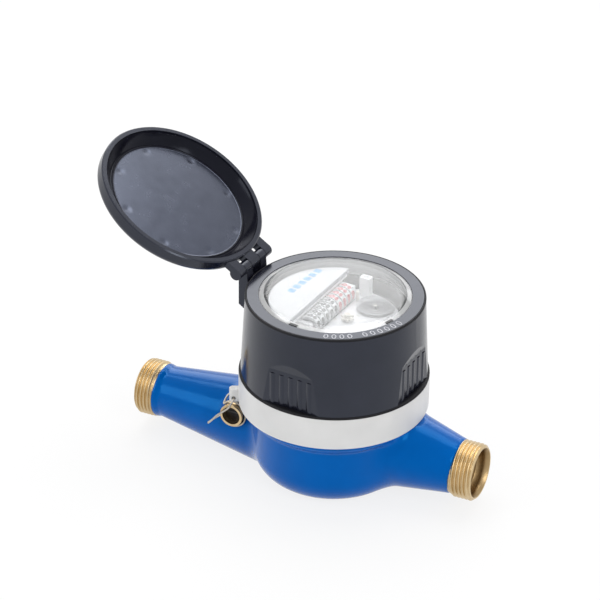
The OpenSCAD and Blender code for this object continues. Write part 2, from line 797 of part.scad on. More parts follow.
// Number wheel i, counted from the fastest: a drum with a toothed side
module number_wheel(i) {
    y = wheel_y0 + (wheel_count - i) * wheel_pitch;
    color("white") in_head() along_row(wheel_x, y, wheel_z) difference() {
        union() {
            cylinder(r = wheel_r, h = drum_w);
            gear(wheel_teeth, 0, drum_w - 0.1, gear_w + 0.1, gear_m);
        }
        translate([0, 0, -over]) cylinder(r = arbor_r + run, h = drum_w + gear_w + 2 * over);
        translate([0, 0, -over]) ring(wheel_r - 0.9, 1.8, 0, over + 1.2);
    }
}

// Pinion that carries a tenth of a turn to number wheel i + 1
module carry_pinion(i) {
    y = wheel_y0 + (wheel_count - 1 - i) * wheel_pitch + drum_w + (gear_w + 0.25 - pinion_w) / 2;
    color("ivory") in_head() along_row(carry_x, y, wheel_z) difference() {
        gear(pinion_teeth, 180 / pinion_teeth, 0, pinion_w, gear_m);
        translate([0, 0, -over]) cylinder(r = arbor_r + run, h = pinion_w + 2 * over);
    }
}

// Clear dome over the dial, on a skirt that the head ring holds down
module register_lens() {
    edge = 1.6;
    inner_r = lens_r - lens_wall;
    color([0.85, 0.9, 0.95, 0.4]) in_head() rotate_extrude() polygon(concat(
        [[0, lens_top]],
        [for (p = arc(lens_r - edge, lens_top - edge, edge, 90, 0, 5)) p],
        [[lens_r, shelf_z - gap], [skirt_r, shelf_z - gap], [skirt_r, register_z],
         [skirt_r - 2.2, register_z],
         [skirt_r - 2.2, shelf_z - gap - 2.2], [inner_r, shelf_z - gap - 2.2],
         [inner_r, lens_top - 2], [0, lens_top - 2]]));
}

meter_body();
inlet_strainer();
jet_chamber();
chamber_cover();
impeller_pivot();
impeller();
drive_magnet();
body_gasket();
pressure_plate();
seal_ring();
head_ring();
hinge_pin();
lid();
adjuster_plug();
adjuster_screw();
seal_wire();
register_base();
follower_magnet();
follower_arbor();
star_arbor();
star_indicator();
transfer_gear();
pointer_gear();
pointer_disc();
worm_arbor();
dial_plate();
dial_panel();
counter_frame();
wheel_shaft();
carry_shaft();
register_lens();
for (i = [1 : wheel_count])
    number_wheel(i);
for (i = [1 : wheel_count - 1])
    carry_pinion(i);
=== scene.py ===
import math

import bmesh
import bpy
import numpy as np
from mathutils import Matrix, Vector


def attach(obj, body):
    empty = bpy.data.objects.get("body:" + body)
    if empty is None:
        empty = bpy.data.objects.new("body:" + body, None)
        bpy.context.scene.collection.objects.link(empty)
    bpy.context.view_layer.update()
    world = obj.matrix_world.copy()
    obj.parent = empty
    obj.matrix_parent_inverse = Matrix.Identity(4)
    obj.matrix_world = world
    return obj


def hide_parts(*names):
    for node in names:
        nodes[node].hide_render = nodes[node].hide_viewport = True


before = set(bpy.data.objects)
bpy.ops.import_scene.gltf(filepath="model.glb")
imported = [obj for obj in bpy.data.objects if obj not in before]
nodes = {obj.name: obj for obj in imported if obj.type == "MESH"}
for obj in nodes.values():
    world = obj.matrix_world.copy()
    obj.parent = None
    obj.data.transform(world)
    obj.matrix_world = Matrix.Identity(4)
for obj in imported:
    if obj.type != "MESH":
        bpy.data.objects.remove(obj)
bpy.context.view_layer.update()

scene = bpy.context.scene

MM = 0.001

# Places that several pieces share, in millimetres
HEAD = Matrix.Rotation(math.radians(-4), 4, "Z")
PIPE_Z = 17.5
INLET_X, OUTLET_X = -97.0, 73.0
BOSS_X, BOSS_Z = -42.0, 27.0
RIM_TOP = 91.3


# Materials

EVEN = (1, 1, 1)


def shader(name):
    """A new node material with its Principled shader."""
    mat = bpy.data.materials.new(name)
    mat.use_nodes = True
    tree = mat.node_tree
    tree.nodes.clear()
    out = tree.nodes.new("ShaderNodeOutputMaterial")
    bsdf = tree.nodes.new("ShaderNodeBsdfPrincipled")
    tree.links.new(bsdf.outputs[0], out.inputs["Surface"])
    return mat, tree, bsdf


def noise(tree, scale, detail=4.0, stretch=EVEN):
    """Noise in the object's own space."""
    coord = tree.nodes.new("ShaderNodeTexCoord")
    place = tree.nodes.new("ShaderNodeMapping")
    place.inputs["Scale"].default_value = stretch
    tree.links.new(coord.outputs["Object"], place.inputs["Vector"])
    tex = tree.nodes.new("ShaderNodeTexNoise")
    tex.inputs["Scale"].default_value = scale
    tex.inputs["Detail"].default_value = detail
    tree.links.new(place.outputs[0], tex.inputs["Vector"])
    return tex.outputs["Fac"]


def ramp(tree, fac, low, high):
    """Colour between low and high, over the middle of a noise."""
    node = tree.nodes.new("ShaderNodeValToRGB")
    for element, at, colour in zip(node.color_ramp.elements, (0.35, 0.65), (low, high)):
        element.position = at
        element.color = (*colour, 1)
    tree.links.new(fac, node.inputs["Fac"])
    return node.outputs["Color"]


def spread(tree, fac, low, high):
    """Value between low and high, over the middle of a noise."""
    node = tree.nodes.new("ShaderNodeMapRange")
    node.inputs["From Min"].default_value = 0.3
    node.inputs["From Max"].default_value = 0.7
    node.inputs["To Min"].default_value = low
    node.inputs["To Max"].default_value = high
    tree.links.new(fac, node.inputs["Value"])
    return node.outputs["Result"]


def bumped(tree, bsdf, layers):
    """Chains bump layers of (noise scale, depth in mm, strength, stretch) onto the shader."""
    last = None
    for scale, depth, strength, stretch in layers:
        node = tree.nodes.new("ShaderNodeBump")
        node.inputs["Distance"].default_value = depth * MM
        node.inputs["Strength"].default_value = strength
        tree.links.new(noise(tree, scale, 3.0, stretch), node.inputs["Height"])
        if last:
            tree.links.new(last, node.inputs["Normal"])
        last = node.outputs["Normal"]
    tree.links.new(last, bsdf.inputs["Normal"])


def finish_of(name, low, high, tone, rough, rough_scale, bump=(), metal=0.0, level=0.5, ior=1.5, tint=EVEN):
    """A solid finish: colours low to high on a noise of scale tone, roughness on one of rough_scale."""
    mat, tree, bsdf = shader(name)
    tree.links.new(ramp(tree, noise(tree, tone), low, high), bsdf.inputs["Base Color"])
    tree.links.new(spread(tree, noise(tree, rough_scale), *rough), bsdf.inputs["Roughness"])
    bsdf.inputs["Metallic"].default_value = metal
    bsdf.inputs["Specular IOR Level"].default_value = level
    bsdf.inputs["IOR"].default_value = ior
    bsdf.inputs["Specular Tint"].default_value = (*tint, 1)
    if bump:
        bumped(tree, bsdf, bump)
    return mat


def clear_of(name, tint, haze, gloss_rough):
    """Thin clear plastic: what lies under it shows, with a faint haze and the gloss of its surface."""
    mat, tree, bsdf = shader(name)
    tree.links.new(ramp(tree, noise(tree, 70), [c * 0.9 for c in tint], tint), bsdf.inputs["Base Color"])
    bsdf.inputs["Roughness"].default_value = 0.5
    bsdf.inputs["Specular IOR Level"].default_value = 0.0
    through = tree.nodes.new("ShaderNodeBsdfTransparent")
    through.inputs["Color"].default_value = (0.985, 0.988, 0.99, 1)
    gloss = tree.nodes.new("ShaderNodeBsdfGlossy")
    gloss.inputs["Roughness"].default_value = gloss_rough

    # gloss grows towards the edge of the view
    facing = tree.nodes.new("ShaderNodeLayerWeight")
    facing.inputs["Blend"].default_value = 0.5
    edge = tree.nodes.new("ShaderNodeMath")
    edge.operation = "POWER"
    edge.inputs[1].default_value = 5.0
    tree.links.new(facing.outputs["Facing"], edge.inputs[0])
    glint = tree.nodes.new("ShaderNodeMath")
    glint.operation = "MULTIPLY_ADD"
    glint.inputs[1].default_value = 0.9
    glint.inputs[2].default_value = 0.04
    tree.links.new(edge.outputs[0], glint.inputs[0])

    bump = tree.nodes.new("ShaderNodeBump")
    bump.inputs["Distance"].default_value = 0.06 * MM
    bump.inputs["Strength"].default_value = 0.15
    tree.links.new(noise(tree, 60), bump.inputs["Height"])
    for node in (gloss, facing):
        tree.links.new(bump.outputs["Normal"], node.inputs["Normal"])

    hazy = mixed(tree, through, bsdf)
    hazy.inputs["Fac"].default_value = haze
    whole = mixed(tree, hazy, gloss)
    tree.links.new(glint.outputs[0], whole.inputs["Fac"])
    out = [n for n in tree.nodes if n.type == "OUTPUT_MATERIAL"][0]
    tree.links.new(whole.outputs[0], out.inputs["Surface"])
    return mat


def mixed(tree, first, second):
    """A mix of two shaders, whose share is still to be set."""
    mix = tree.nodes.new("ShaderNodeMixShader")
    tree.links.new(first.outputs[0], mix.inputs[1])
    tree.links.new(second.outputs[0], mix.inputs[2])
    return mix


PRINT = (900, (0.4, 0.5), 900)
MARK = (900, (0.45, 0.55), 900)
MOULDED = (80, (0.4, 0.5), 300, [(1200, 0.01, 0.2, EVEN)])

blue_paint = finish_of("blue_paint", (0.0, 0.094, 0.40), (0.0, 0.108, 0.445), 45, (0.13, 0.21), 160,
                       [(55, 0.25, 0.25, EVEN), (420, 0.05, 0.18, EVEN)], level=0.45, tint=(0.04, 0.45, 1.0))
brass = finish_of("brass", (0.57, 0.43, 0.24), (0.67, 0.52, 0.31), 140, (0.27, 0.37), 500,
                  [(400, 0.002, 0.03, (6, 0.4, 0.4))], metal=1.0)
# darker copy of the brass: painted shade for the inside of the ends
brass_bore_painted_shade = finish_of("brass_bore_painted_shade", (0.30, 0.205, 0.10), (0.40, 0.285, 0.15), 140, (0.3, 0.42), 500,
                       [(900, 0.02, 0.2, EVEN)], metal=1.0)
# near-black copy of the brass: painted shade for the adjuster screw and the plug's hollow
brass_painted_shade = finish_of("brass_painted_shade", (0.025, 0.025, 0.03), (0.06, 0.055, 0.05), 140, (0.3, 0.5), 500,
                       [(900, 0.03, 0.25, EVEN)], metal=1.0)
white_plastic = finish_of("white_plastic", (0.68, 0.68, 0.675), (0.72, 0.72, 0.715), 60, (0.36, 0.46), 250,
                          [(900, 0.02, 0.2, EVEN)])
black_plastic = finish_of("black_plastic", (0.0055, 0.0060, 0.012), (0.0095, 0.0100, 0.018), 70, (0.15, 0.21),
                          200, [(120, 0.05, 0.12, EVEN), (1500, 0.006, 0.2, EVEN)], level=0.56,
                          tint=(0.78, 0.85, 1.0))
# copies of the black plastic for the lid's inside: the wall darker with weak reflection as painted shade, the
# floor with strong bluish reflection as painted sheen
lid_wall = finish_of("lid_wall", (0.0045, 0.0045, 0.0085), (0.0075, 0.0075, 0.0130), 70, (0.12, 0.18), 200,
                     [(120, 0.05, 0.12, EVEN)], level=0.14, tint=(0.78, 0.85, 1.0))
lid_floor_painted_sheen = finish_of("lid_floor_painted_sheen", (0.0055, 0.0060, 0.012), (0.0095, 0.0100, 0.018), 70, (0.20, 0.28), 200,
                      [(120, 0.02, 0.08, EVEN)], level=0.70, ior=1.7, tint=(0.66, 0.75, 1.0))
# darker, duller copy of the black plastic: painted shade for the lines at the head ring's foot and top edge
black_painted_shade = finish_of("black_painted_shade", (0.0020, 0.0020, 0.0040), (0.0040, 0.0040, 0.0065), 70, (0.5, 0.6), 200,
                       [(1500, 0.006, 0.2, EVEN)], level=0.25)
dial_white = finish_of("dial_white", (0.64, 0.645, 0.655), (0.69, 0.695, 0.705), *MOULDED)
# brighter copy of the dial white: painted light against the shade under the head's rim and the lens layers
dial_white_painted_light = finish_of("dial_white_painted_light", (0.76, 0.765, 0.775), (0.81, 0.815, 0.825), *MOULDED)
# darker copy of the dial white: painted shade that tones down the raised panel, which sits higher and takes
# more light
panel_white_painted_shade = finish_of("panel_white_painted_shade", (0.50, 0.505, 0.515), (0.54, 0.545, 0.555), *MOULDED)
gear_plastic = finish_of("gear_plastic", (0.60, 0.57, 0.50), (0.68, 0.65, 0.58), 200, (0.35, 0.45), 400,
                         [(1500, 0.01, 0.2, EVEN)])
# black for the printed digits, and for bars and bands painted as the shade of slots
black_print_and_painted_shade = finish_of("black_print_and_painted_shade", (0.010, 0.010, 0.012), (0.02, 0.02, 0.024), *PRINT)
digit_red = finish_of("digit_red", (0.40, 0.008, 0.022), (0.47, 0.014, 0.03), *PRINT)
bar_blue = finish_of("bar_blue", (0.03, 0.27, 0.52), (0.05, 0.31, 0.56), *PRINT)
# grey for the clear disc's rings, and for the band round the raised panel as painted shade
grey_mark_and_painted_shade = finish_of("grey_mark_and_painted_shade", (0.30, 0.31, 0.34), (0.37, 0.38, 0.41), *MARK)
mark_pale = finish_of("mark_pale", (0.36, 0.365, 0.40), (0.43, 0.435, 0.47), *MARK)
steel = finish_of("steel", (0.48, 0.48, 0.49), (0.58, 0.58, 0.59), 300, (0.22, 0.36), 600,
                  [(1800, 0.01, 0.2, EVEN)], metal=1.0)
wire_steel = finish_of("wire_steel", (0.40, 0.37, 0.32), (0.55, 0.51, 0.45), 400, (0.3, 0.45), 700,
                       [(1500, 0.02, 0.3, EVEN)], metal=1.0)
magnet = finish_of("magnet", (0.05, 0.05, 0.055), (0.09, 0.09, 0.095), 300, (0.5, 0.65), 500,
                   [(900, 0.03, 0.3, EVEN)])
rubber = finish_of("rubber", (0.012, 0.012, 0.012), (0.022, 0.022, 0.022), 300, (0.6, 0.75), 500,
                   [(900, 0.03, 0.3, EVEN)])
lens_clear = clear_of("lens_clear", (0.78, 0.79, 0.80), 0.022, 0.05)
lens_milky = clear_of("lens_milky", (0.90, 0.905, 0.91), 0.40, 0.06)
disc_clear = clear_of("disc_clear", (0.75, 0.76, 0.78), 0.045, 0.06)


# Pieces

def paint(obj, mat):
    obj.data.materials.clear()
    obj.data.materials.append(mat)


def piece(name, mesh, body, mats, smooth=True, turn=None):
    """A new object from a bmesh in millimetres, riding on a body, as drawn or turned into place."""
    if turn:
        mesh.transform(turn)
    mesh.transform(Matrix.Scale(MM, 4))
    data = bpy.data.meshes.new(name)
    mesh.to_mesh(data)
    mesh.free()
    obj = bpy.data.objects.new(name, data)
    scene.collection.objects.link(obj)
    if smooth:
        data.shade_smooth()
    for mat in mats if isinstance(mats, list) else [mats]:
        data.materials.append(mat)
    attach(obj, body)
    return obj


def crease(obj, degrees):
    """Smooth shading with sharp edges kept sharp."""
    obj.data.shade_smooth()
    obj.data.set_sharp_from_angle(angle=math.radians(degrees))


def full_turn(steps):
    """Angles of one turn in equal steps."""
    return [2 * math.pi * k / steps for k in range(steps)]


def skin(mesh, rows):
    """Quads between neighbouring closed rows of as many vertices."""
    for a, b in zip(rows, rows[1:]):
        for k in range(len(a)):
            n = (k + 1) % len(a)
            mesh.faces.new((a[k], a[n], b[n], b[k]))


def lathe(profile, steps=128, closed=False):
    """Revolves (radius, height) points about Z, in millimetres."""
    mesh = bmesh.new()
    rows = []
    for r, h in profile:
        if r == 0:
            rows.append([mesh.verts.new((0, 0, h))] * steps)
        else:
            rows.append([mesh.verts.new((r * math.cos(a), r * math.sin(a), h)) for a in full_turn(steps)])
    for a, b in zip(rows, rows[1:] + rows[:1] if closed else rows[1:]):
        for k in range(steps):
            n = (k + 1) % steps
            corners = list(dict.fromkeys((a[k], a[n], b[n], b[k])))
            if len(corners) > 2:
                mesh.faces.new(corners)
    bmesh.ops.recalc_face_normals(mesh, faces=mesh.faces)
    return mesh


def joined(meshes):
    """One bmesh from several, which are used up."""
    whole = bmesh.new()
    for mesh in meshes:
        data = bpy.data.meshes.new("part")
        mesh.to_mesh(data)
        mesh.free()
        whole.from_mesh(data)
        bpy.data.meshes.remove(data)
    return whole


def block(size, at, turn=0.0):
    """A box of the given size centred at a place, turned about Z."""
    mesh = bmesh.new()
    bmesh.ops.create_cube(mesh, size=1.0)
    mesh.transform(Matrix.Translation(at) @ Matrix.Rotation(turn, 4, "Z") @ Matrix.Diagonal((*size, 1)))
    return mesh


# Camera: place, aim and lens from the fit to the photograph

PHOTO_PX, FOCAL_PX, SENSOR = 600, 2842.7, 36
CAMERA_AIM = Vector((-14.285, -6.736, 88.0)) * MM
CAMERA_SIDE = Vector((0.3698, -0.7842, 0.4982)).normalized()
CAMERA_AWAY, CAMERA_ROLL = 1.2666, math.radians(0.66)


def make_camera():
    data = bpy.data.cameras.new("camera")
    data.sensor_width = SENSOR
    data.lens = FOCAL_PX * SENSOR / PHOTO_PX
    data.clip_start = 0.05
    data.clip_end = 20
    camera = bpy.data.objects.new("camera", data)
    scene.collection.objects.link(camera)
    camera.matrix_world = (Matrix.Translation(CAMERA_AIM + CAMERA_SIDE * CAMERA_AWAY)
                           @ CAMERA_SIDE.to_track_quat("Z", "Y").to_matrix().to_4x4()
                           @ Matrix.Rotation(CAMERA_ROLL, 4, "Z"))
    scene.camera = camera


make_camera()


# CAD nodes: materials

FINISHES = (
    (blue_paint, ["meter_body"]),
    (black_plastic, ["head_ring", "lid"]),
    (white_plastic, ["seal_ring", "register_base", "jet_chamber", "chamber_cover", "inlet_strainer"]),
    # dial plate, panel and frame in the brightened white, as painted light
    (dial_white_painted_light, ["dial_plate", "dial_panel", "counter_frame"]),
    (dial_white, [f"number_wheel_{k}" for k in range(1, 10)]),
    (gear_plastic, ["follower_arbor", "star_arbor", "star_indicator", "transfer_gear", "pointer_gear",
                    "worm_arbor", "impeller"] + [f"carry_pinion_{k}" for k in range(1, 9)]),
    (steel, ["hinge_pin", "wheel_shaft", "carry_shaft", "impeller_pivot", "pressure_plate"]),
    (brass, ["adjuster_plug"]),
    # the adjuster screw deep in the plug takes the near-black brass as painted shade
    (brass_painted_shade, ["adjuster_screw"]),
    (wire_steel, ["seal_wire"]),
    (magnet, ["drive_magnet", "follower_magnet"]),
    (rubber, ["body_gasket"]),
    (lens_clear, ["register_lens"]),
    (disc_clear, ["pointer_disc"]),
)
for mat, names in FINISHES:
    for name in names:
        paint(nodes[name], mat)


# Body: one casting whose arms, bowl and boss run into each other

BOWL_ROUND, ARM_ROUND, BOSS_ROUND = 1.2, 0.8, 0.8
ARM_BLEND, BOSS_BLEND = 4.0, 3.0
ARM_TOP = 36.4
BOSS_R, BOSS_FACE, BOSS_BACK = 5.8, -14.7, -4.0
SEAT_R, SEAT_Y = 5.9, -15.3
OPEN_R, INLET_OPEN, OUTLET_OPEN = 11.4, -87.4, 60.6
# outline of the bowl as (radius, height), inside its rounding
BOWL = ([(-1, 1.2)]
        + [(23.5 + 11.8 * math.sin(t), 13 - 11.8 * math.cos(t)) for t in np.linspace(0, math.pi / 2, 11)]
        + [(35.3, 30.4), (39.1, 34.2), (39.1, 35.8), (37.2, 35.8), (37.2, 54.8), (-1, 54.8)])
# each arm: pivot, tilt about Y and outline as (radius, distance along its leaning axis)
ARMS = (((-92.75, 0, PIPE_Z), math.radians(91.85),
         [(-1, 5.0), (11.85, 5.0), (11.85, 6.0), (11.35, 8.2), (19.8, 67.8), (-1, 67.8)]),
        ((67.75, 0, PIPE_Z), math.radians(-84.45),
         [(-1, 6.0), (12.05, 6.0), (19.78, 42.9), (-1, 42.9)]))
# a hull a little outside the bowl, from which its skin is drawn in
BOWL_HULL = [(0, 0), (24, 0), (32.5, 3.6), (36.5, 12), (36.5, 31), (40.3, 34.5), (40.3, 37), (38.4, 37),
             (38.4, 56), (0, 56)]
BOSS_HULL = [(0, 6), (6.6, 6), (6.6, 15.5), (0, 15.5)]


def outline_distance(points, q):
    """Signed distance from points q to a closed outline, both in the plane."""
    far = np.full(len(q), 1e9)
    inside = np.zeros(len(q), bool)
    pts = np.asarray(points, float)
    for a, b in zip(pts, np.roll(pts, -1, 0)):
        e = b - a
        w = q - a
        t = np.clip((w @ e) / max(e @ e, 1e-12), 0, 1)
        far = np.minimum(far, np.hypot(*(w - t[:, None] * e).T))
        cross = (a[1] > q[:, 1]) != (b[1] > q[:, 1])
        rise = b[1] - a[1] if abs(b[1] - a[1]) > 1e-9 else 1e-9
        inside ^= cross & (q[:, 0] < e[0] * (q[:, 1] - a[1]) / rise + a[0])
    return np.where(inside, -far, far)


def melt(a, b, k):
    """The nearer of two distances, with a soft blend of width k."""
    h = np.maximum(k - np.abs(a - b), 0) / k
    return np.minimum(a, b) - h * h * k / 4


def casting(p):
    """Signed distance to the casting's skin, in millimetres."""
    x, y, z = p.T
    whole = outline_distance(BOWL, np.stack([np.hypot(x, y), z], 1)) - BOWL_ROUND
    for pivot, tilt, outline in ARMS:
        along = (x - pivot[0]) * math.sin(tilt) + (z - pivot[2]) * math.cos(tilt)
        up = (x - pivot[0]) * math.cos(tilt) - (z - pivot[2]) * math.sin(tilt)
        arm = outline_distance(outline, np.stack([np.hypot(y, up), along], 1)) - ARM_ROUND
        whole = melt(whole, np.maximum(arm, np.maximum(-z, z - ARM_TOP)), ARM_BLEND)
    boss_r = np.hypot(x - BOSS_X, z - BOSS_Z)
    side = boss_r - BOSS_R
    ends = np.maximum(BOSS_FACE - y, y - BOSS_BACK)
    boss = (np.minimum(np.maximum(side, ends), 0)
            + np.hypot(np.maximum(side, 0), np.maximum(ends, 0)) - BOSS_ROUND)
    whole = melt(whole, boss, BOSS_BLEND)
    return np.maximum(whole, -np.maximum(boss_r - SEAT_R, y - SEAT_Y))


def rough_body():
    """Simple hulls of bowl, arms and boss, for the skin to start from."""
    hulls = [lathe(BOWL_HULL, 64)]
    for pivot, tilt, outline in ARMS:
        arm = lathe([(max(r, 0) + 0.5 * (r > 0), h) for r, h in outline], 48)
        arm.transform(Matrix.Translation(pivot) @ Matrix.Rotation(tilt, 4, "Y"))
        hulls.append(arm)
    boss = lathe(BOSS_HULL, 32)
    boss.transform(Matrix.Translation((BOSS_X, 0, BOSS_Z)) @ Matrix.Rotation(math.radians(90), 4, "X"))
    return joined(hulls + [boss])


def drawn_in(data, nudge=0.05):
    """Moves a mesh's vertices onto the casting's skin."""
    p = np.empty(len(data.vertices) * 3)
    data.vertices.foreach_get("co", p)
    p = p.reshape(-1, 3) / MM
    for _ in range(4):
        d = casting(p)
        slopes = [casting(p + step) - casting(p - step) for step in np.eye(3) * nudge]
        grad = np.stack(slopes, 1) / (2 * nudge)
        size = np.maximum((grad ** 2).sum(1), 0.25)
        p = p - (d / size)[:, None] * grad
    p[:, 2] = np.maximum(p[:, 2], 0.0)  # flat underside
    data.vertices.foreach_set("co", (p * MM).ravel())


def in_pipe(co):
    x, y, z = co / MM
    return math.hypot(y, z - PIPE_Z) < OPEN_R and (x < INLET_OPEN or x > OUTLET_OPEN)


def make_body():
    obj = piece("body_casting", rough_body(), "meter", blue_paint)
    mod = obj.modifiers.new("skin", "REMESH")
    mod.mode = "VOXEL"
    mod.voxel_size = 0.85 * MM
    data = bpy.data.meshes.new_from_object(obj.evaluated_get(bpy.context.evaluated_depsgraph_get()))
    obj.modifiers.clear()
    drawn_in(data)
    mesh = bmesh.new()
    mesh.from_mesh(data)
    shut = [f for f in mesh.faces if all(in_pipe(v.co) for v in f.verts)]
    bmesh.ops.delete(mesh, geom=shut, context="FACES")
    mesh.to_mesh(data)
    mesh.free()
    data.materials.clear()
    data.materials.append(blue_paint)
    data.shade_smooth()
    obj.data = data
    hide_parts("meter_body")


make_body()


# Brass ends: external pipe thread, stepped mouth and water passage

THREAD_PITCH, THREAD_DEEP, THREAD_CREST = 1.814, 1.05, 13.22
THREAD_ROOT = THREAD_CREST - THREAD_DEEP
LIP_R, LIP_BACK, LIP_SLOPE, RUN_OUT = 11.95, 0.05, 1.1, 0.6
# inside of an end as (radius, distance from its face), from the duct out to the lip
MOUTH = ((5.6, 34), (6.3, 24), (7.5, 22.5), (7.5, 7.0), (7.5, 6.25), (7.75, 6.0), (10.1, 6.0), (10.4, 5.7),
         (10.4, 3.0), (10.4, 1.9), (11.5, 0.15), (11.65, 0.0), (LIP_R, 0.0))


def thread_r(s, turn, thread):
    """Radius of the thread at s from the face, with rounded crests, a cut lead and a run-out."""
    tooth = 0.5 - 0.5 * math.cos(2 * math.pi * ((s / THREAD_PITCH + turn) % 1.0))
    r = min(THREAD_ROOT + THREAD_DEEP * tooth, LIP_R + LIP_SLOPE * s)
    fade = min(1.0, max(0.0, (thread - s) / RUN_OUT))
    return (THREAD_ROOT + 0.1) * (1 - fade) + r * fade


def in_bore(x, y, z, end_x, out):
    """Whether a place inside an end takes the darker brass as painted shade; the inner step keeps the plain
    brass and reads as a lit edge.
    """
    r, s = math.hypot(y, z - PIPE_Z), (end_x - x) * out
    return r < 11.2 and s > 0.4 and not (7.4 < r < 8.2 and s < 6.4)


def pipe_end(name, end_x, out, thread):
    """The bare brass end at end_x, opening along out (-1 or +1), with a thread of the given length."""
    around = 144
    along = int(thread / (0.08))
    mesh = bmesh.new()

    def ring(s, radius):
        row = []
        for k, a in enumerate(full_turn(around)):
            r = radius(k / around)
            row.append(mesh.verts.new((end_x - out * s, r * math.cos(a), PIPE_Z + r * math.sin(a))))
        return row

    rows = [ring(s, lambda turn: r) for r, s in MOUTH]
    for j in range(along + 1):
        s = LIP_BACK + (thread - LIP_BACK) * j / along
        rows.append(ring(s, lambda turn: thread_r(s, turn, thread)))
    rows.append(ring(thread + RUN_OUT, lambda turn: THREAD_ROOT))
    rows.append(ring(thread + RUN_OUT + 1.0, lambda turn: 11.8))
    skin(mesh, rows)
    mesh.faces.new(rows[0])
    bmesh.ops.recalc_face_normals(mesh, faces=mesh.faces)
    obj = piece(name, mesh, "meter", [brass, brass_bore_painted_shade])
    # the inside of each end takes the darker brass as painted shade
    for face in obj.data.polygons:
        face.material_index = 1 if in_bore(*(face.center / MM), end_x, out) else 0
    crease(obj, 50)


pipe_end("inlet_end", INLET_X, -1, 9.2)
pipe_end("outlet_end", OUTLET_X, 1, 10.5)


# Number wheels: digits round each drum

WHEEL_X, WHEEL_Z, WHEEL_R = -5.2, 81.0, 4.7
WHEEL_PITCH, WHEEL_GAP = 31.8 / 8.05, 1.05
WHEEL_ROW = 5.2  # pitches from the register's middle to the row's zero
DIGIT_TALL, DIGIT_BOLD, DIGIT_WIDEN, DIGIT_PROUD = 2.75, 0.06, 1.35, 0.02
RED_WHEELS = 4


def lettering(text, height, bold=0.0):
    """A flat bmesh of the text, height millimetres tall, centred, reading along +X."""
    curve = bpy.data.curves.new("text", "FONT")
    curve.body = text
    curve.resolution_u = 3
    curve.offset = bold
    curve.align_x = "LEFT"
    obj = bpy.data.objects.new("text", curve)
    scene.collection.objects.link(obj)
    bpy.context.view_layer.update()
    data = bpy.data.meshes.new_from_object(obj.evaluated_get(bpy.context.evaluated_depsgraph_get()))
    mesh = bmesh.new()
    mesh.from_mesh(data)
    bpy.data.objects.remove(obj)
    bpy.data.curves.remove(curve)
    bpy.data.meshes.remove(data)
    bmesh.ops.remove_doubles(mesh, verts=mesh.verts, dist=1e-5)
    xs = [v.co.x for v in mesh.verts]
    ys = [v.co.y for v in mesh.verts]
    k = height / (max(ys) - min(ys))
    for v in mesh.verts:
        v.co = ((v.co.x - (max(xs) + min(xs)) / 2) * k, (v.co.y - (max(ys) + min(ys)) / 2) * k, 0)
    return mesh


def sliced(mesh, step, reach):
    """Cuts a flat mesh into strips across Y, so that it can bend."""
    n = int(reach / step)
    for i in range(-n, n + 1):
        whole = mesh.verts[:] + mesh.edges[:] + mesh.faces[:]
        bmesh.ops.bisect_plane(mesh, geom=whole, plane_co=(0, i * step, 0), plane_no=(0, 1, 0))
    return mesh


def wheel_digits(k):
    """Ten digits bent round wheel k."""
    mid = (WHEEL_ROW - k) * WHEEL_PITCH + (WHEEL_PITCH - WHEEL_GAP) / 2
    r = WHEEL_R + DIGIT_PROUD
    digits = []
    for digit in range(10):
        flat = sliced(lettering(str(digit), DIGIT_TALL, DIGIT_BOLD), 0.4, 1.6)
        for v in flat.verts:
            a = v.co.y / WHEEL_R + math.radians(36) * digit
            v.co = (WHEEL_X - r * math.sin(a), mid + v.co.x * DIGIT_WIDEN, WHEEL_Z + r * math.cos(a))
        digits.append(flat)
    whole = joined(digits)
    bmesh.ops.recalc_face_normals(whole, faces=whole.faces)
    piece(f"digits_{k}", whole, f"counter_wheel_{k}", digit_red if k <= RED_WHEELS else black_print_and_painted_shade,
          smooth=False, turn=HEAD)


for wheel in range(1, 10):
    wheel_digits(wheel)


# Register: raised panel with its bars, and a grey band round its edge as painted shade

PANEL_R, PANEL_EDGE, PANEL_LOW, PANEL_TOP = 29.6, -8.8, 86.02, 88.3
BAR_COUNT, BAR_SIZE = 6, (3.2, 3.0, 0.06)


def hoop(r, w, h, z, start=0.0, end=360.0, steps=96):
    """A flat band of width w and height h round the head's axis, between two angles in degrees."""
    mesh = bmesh.new()
    full = end - start >= 359.9
    n = steps if full else steps + 1
    rows = []
    for i in range(n):
        a = math.radians(start + (end - start) * i / steps)
        corners = ((r - w / 2, z), (r + w / 2, z), (r + w / 2, z + h), (r - w / 2, z + h))
        rows.append([mesh.verts.new((q * math.cos(a), q * math.sin(a), top)) for q, top in corners])
    skin(mesh, rows + rows[:1] if full else rows)
    if not full:
        mesh.faces.new(rows[0])
        mesh.faces.new(rows[-1])
    bmesh.ops.recalc_face_normals(mesh, faces=mesh.faces)
    return mesh


def half_moon(r, edge, z, h, steps=72):
    """A plate cut from a disc by a straight edge at x = edge."""
    mesh = bmesh.new()
    reach = math.acos(-edge / r)
    turns = [math.pi - reach + 2 * reach * i / steps for i in range(steps + 1)]
    low = mesh.faces.new([mesh.verts.new((r * math.cos(a), r * math.sin(a), z)) for a in turns])
    top = bmesh.ops.extrude_face_region(mesh, geom=[low])["geom"]
    bmesh.ops.translate(mesh, verts=[v for v in top if isinstance(v, bmesh.types.BMVert)], vec=(0, 0, h))
    bmesh.ops.recalc_face_normals(mesh, faces=mesh.faces)
    return mesh


